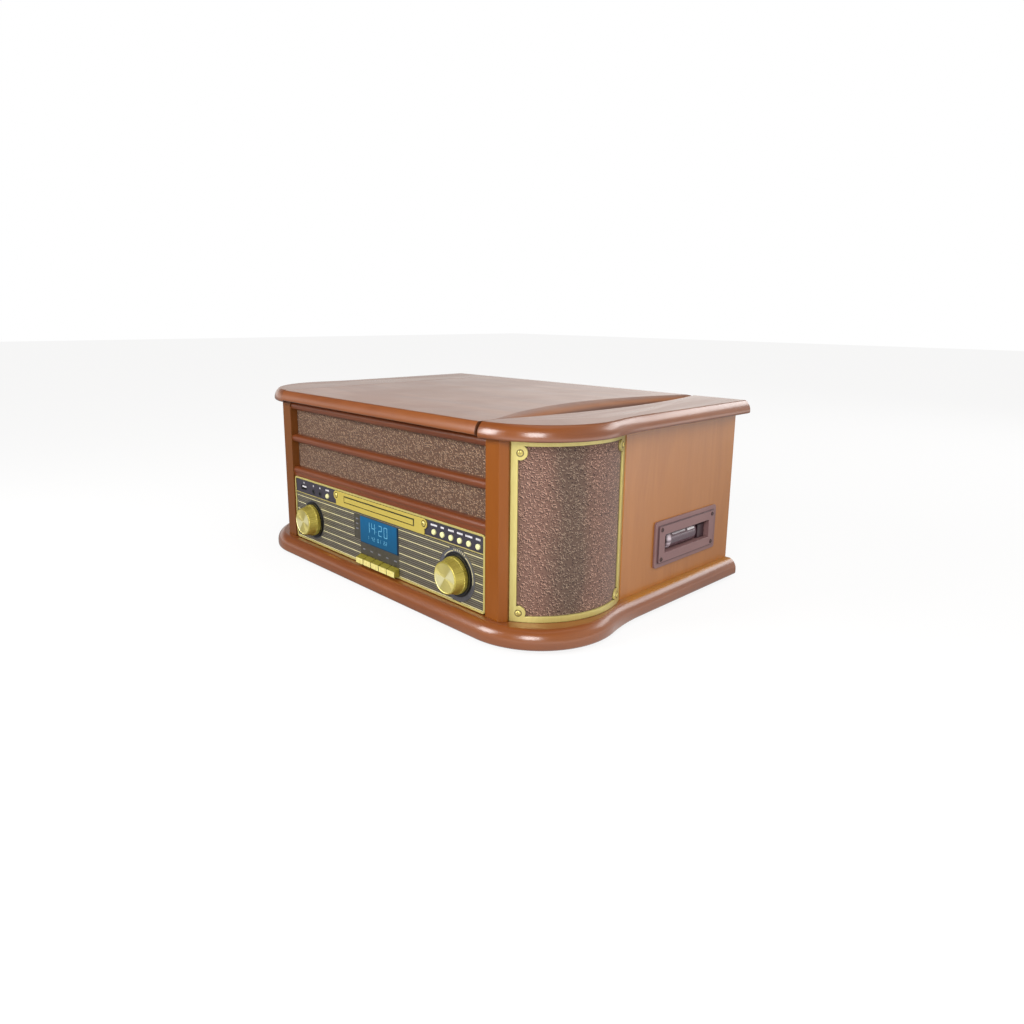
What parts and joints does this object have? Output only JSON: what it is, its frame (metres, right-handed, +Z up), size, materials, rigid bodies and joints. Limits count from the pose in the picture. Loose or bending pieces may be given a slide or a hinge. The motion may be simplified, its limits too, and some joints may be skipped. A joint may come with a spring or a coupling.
{
  "type": "stereo music centre",
  "caption": "Wooden stereo music centre with a record deck under a hinged lid, disc drawer, radio dial, side cassette slot and round cloth-covered speaker corners.",
  "frame": {"origin": "middle of the footprint on the surface that the feet stand on", "axes": "+X to the right seen from the front, +Y to the back, +Z up"},
  "size_m": [0.538, 0.36, 0.2126],
  "materials": {
    "wood": "satin lacquer",
    "wood_inner": "bare",
    "brass": "satin",
    "cloth": "woven",
    "dark_plastic": "matt",
    "gold_plastic": "satin gold",
    "purple_plastic": "gloss",
    "display": "gloss",
    "rubber": "matt",
    "steel": "brushed",
    "aluminium": "satin",
    "board_green": "satin",
    "grey_plastic": "matt",
    "iron": "bare",
    "black_metal": "black paint"
  },
  "bodies": {
    "cabinet": {"plinth": "wood", "rubber_feet": "rubber", "side_panel_left": "wood", "side_panel_right": "wood", "front_posts": "wood", "front_rails": "wood", "grille_board": "wood_inner", "back_panel": "wood_inner", "side_top_left": "wood", "side_top_right": "wood", "well_walls": "wood_inner", "speaker_frame_left": "brass", "speaker_frame_right": "brass", "cloth_panels": "cloth", "speaker_baffles": "wood_inner", "speaker_drivers": "black_metal", "dial_bezel": "brass", "dial_plate": "dark_plastic", "cd_plate": "brass", "lcd_display": "display", "front_sockets": "steel", "trim_screws": "brass", "cassette_bezel": "purple_plastic", "cassette_deck": "grey_plastic", "cd_drive": "grey_plastic", "control_board": "board_green", "main_board": "board_green", "transformer": "iron", "rear_sockets": "dark_plastic", "deck_plate": "dark_plastic", "turntable_motor": "steel", "drive_belt": "rubber", "tonearm_base": "dark_plastic", "hinge_leaves": "brass"},
    "lid": {"lid": "wood", "lid_leaves": "brass"},
    "platter": {"platter": "aluminium", "platter_mat": "rubber"},
    "motor_pulley": {"motor_pulley": "brass"},
    "arm_gimbal": {"arm_gimbal": "aluminium"},
    "tonearm": {"tonearm": "aluminium"},
    "cue_lever": {"cue_lever": "aluminium"},
    "speed_switch": {"speed_switch": "aluminium"},
    "cd_tray": {"cd_tray": "gold_plastic"},
    "knob_volume": {"knob_volume": "gold_plastic"},
    "knob_tuning": {"knob_tuning": "gold_plastic"},
    "power_button": {"power_button": "gold_plastic"},
    "button_1": {"button_1": "gold_plastic"},
    "button_2": {"button_2": "gold_plastic"},
    "button_3": {"button_3": "gold_plastic"},
    "button_4": {"button_4": "gold_plastic"},
    "button_5": {"button_5": "gold_plastic"},
    "button_6": {"button_6": "gold_plastic"},
    "key_1": {"key_1": "gold_plastic"},
    "key_2": {"key_2": "gold_plastic"},
    "key_3": {"key_3": "gold_plastic"},
    "key_4": {"key_4": "gold_plastic"},
    "key_5": {"key_5": "gold_plastic"},
    "cassette_flap": {"cassette_flap": "purple_plastic"},
    "tape_button": {"tape_button": "purple_plastic"}
  },
  "joints": [
    {"name": "lid_hinge", "type": "hinge", "parent": "cabinet", "child": "lid", "pos_m": [0, 0.1775, 0.1975], "axis": [-1, 0, 0], "range_deg": [0, 75]},
    {"name": "platter_spin", "type": "hinge", "parent": "cabinet", "child": "platter", "pos_m": [-0.026, 0.00855, 0.1406], "axis": [0, 0, 1], "continuous": true},
    {"name": "pulley_spin", "type": "hinge", "parent": "cabinet", "child": "motor_pulley", "pos_m": [-0.09317, 0.07573, 0.1406], "axis": [0, 0, 1], "continuous": true},
    {"name": "arm_swing", "type": "hinge", "parent": "cabinet", "child": "arm_gimbal", "pos_m": [0.1343, 0.1204, 0.1456], "axis": [0, 0, -1], "range_deg": [0, 42]},
    {"name": "arm_lift", "type": "hinge", "parent": "arm_gimbal", "child": "tonearm", "pos_m": [0.1343, 0.1204, 0.1686], "axis": [-0.9994, -0.0349, 0], "range_deg": [0, 5]},
    {"name": "cue_turn", "type": "hinge", "parent": "cabinet", "child": "cue_lever", "pos_m": [0.1483, 0.0864, 0.1624], "axis": [-1, 0, 0], "range_deg": [0, 30]},
    {"name": "speed_slide", "type": "slide", "parent": "cabinet", "child": "speed_switch", "axis": [0, 1, 0], "range_m": [0, 0.016]},
    {"name": "tray_slide", "type": "slide", "parent": "cabinet", "child": "cd_tray", "axis": [0, -1, 0], "range_m": [0, 0.132]},
    {"name": "volume_turn", "type": "hinge", "parent": "cabinet", "child": "knob_volume", "pos_m": [0.138, -0.1635, 0.0528], "axis": [0, 1, 0], "range_deg": [-150, 150]},
    {"name": "tuning_turn", "type": "hinge", "parent": "cabinet", "child": "knob_tuning", "pos_m": [-0.138, -0.1635, 0.0528], "axis": [0, 1, 0], "continuous": true},
    {"name": "power_button_press", "type": "slide", "parent": "cabinet", "child": "power_button", "axis": [0, 1, 0], "range_m": [0, 0.001], "stiffness_N_per_m": 400, "springref_m": -0.0004},
    {"name": "button_1_press", "type": "slide", "parent": "cabinet", "child": "button_1", "axis": [0, 1, 0], "range_m": [0, 0.001], "stiffness_N_per_m": 400, "springref_m": -0.0004},
    {"name": "button_2_press", "type": "slide", "parent": "cabinet", "child": "button_2", "axis": [0, 1, 0], "range_m": [0, 0.001], "stiffness_N_per_m": 400, "springref_m": -0.0004},
    {"name": "button_3_press", "type": "slide", "parent": "cabinet", "child": "button_3", "axis": [0, 1, 0], "range_m": [0, 0.001], "stiffness_N_per_m": 400, "springref_m": -0.0004},
    {"name": "button_4_press", "type": "slide", "parent": "cabinet", "child": "button_4", "axis": [0, 1, 0], "range_m": [0, 0.001], "stiffness_N_per_m": 400, "springref_m": -0.0004},
    {"name": "button_5_press", "type": "slide", "parent": "cabinet", "child": "button_5", "axis": [0, 1, 0], "range_m": [0, 0.001], "stiffness_N_per_m": 400, "springref_m": -0.0004},
    {"name": "button_6_press", "type": "slide", "parent": "cabinet", "child": "button_6", "axis": [0, 1, 0], "range_m": [0, 0.001], "stiffness_N_per_m": 400, "springref_m": -0.0004},
    {"name": "key_1_press", "type": "slide", "parent": "cabinet", "child": "key_1", "axis": [0, 1, 0], "range_m": [0, 0.001], "stiffness_N_per_m": 500, "springref_m": -0.0004},
    {"name": "key_2_press", "type": "slide", "parent": "cabinet", "child": "key_2", "axis": [0, 1, 0], "range_m": [0, 0.001], "stiffness_N_per_m": 500, "springref_m": -0.0004},
    {"name": "key_3_press", "type": "slide", "parent": "cabinet", "child": "key_3", "axis": [0, 1, 0], "range_m": [0, 0.001], "stiffness_N_per_m": 500, "springref_m": -0.0004},
    {"name": "key_4_press", "type": "slide", "parent": "cabinet", "child": "key_4", "axis": [0, 1, 0], "range_m": [0, 0.001], "stiffness_N_per_m": 500, "springref_m": -0.0004},
    {"name": "key_5_press", "type": "slide", "parent": "cabinet", "child": "key_5", "axis": [0, 1, 0], "range_m": [0, 0.001], "stiffness_N_per_m": 500, "springref_m": -0.0004},
    {"name": "flap_swing", "type": "hinge", "parent": "cabinet", "child": "cassette_flap", "pos_m": [0.2428, 0.0802, 0.07615], "axis": [0, 1, 0], "range_deg": [0, 70], "stiffness_Nm_per_rad": 0.004, "springref_deg": -17.19},
    {"name": "tape_button_press", "type": "slide", "parent": "cabinet", "child": "tape_button", "axis": [-1, 0, 0], "range_m": [0, 0.005], "stiffness_N_per_m": 200, "springref_m": -0.003}
  ],
  "couplings": [
    {"joint": "pulley_spin", "follows": "platter_spin", "ratio": 10.8},
    {"joint": "arm_lift", "follows": "cue_turn", "ratio": 0.16667}
  ]
}
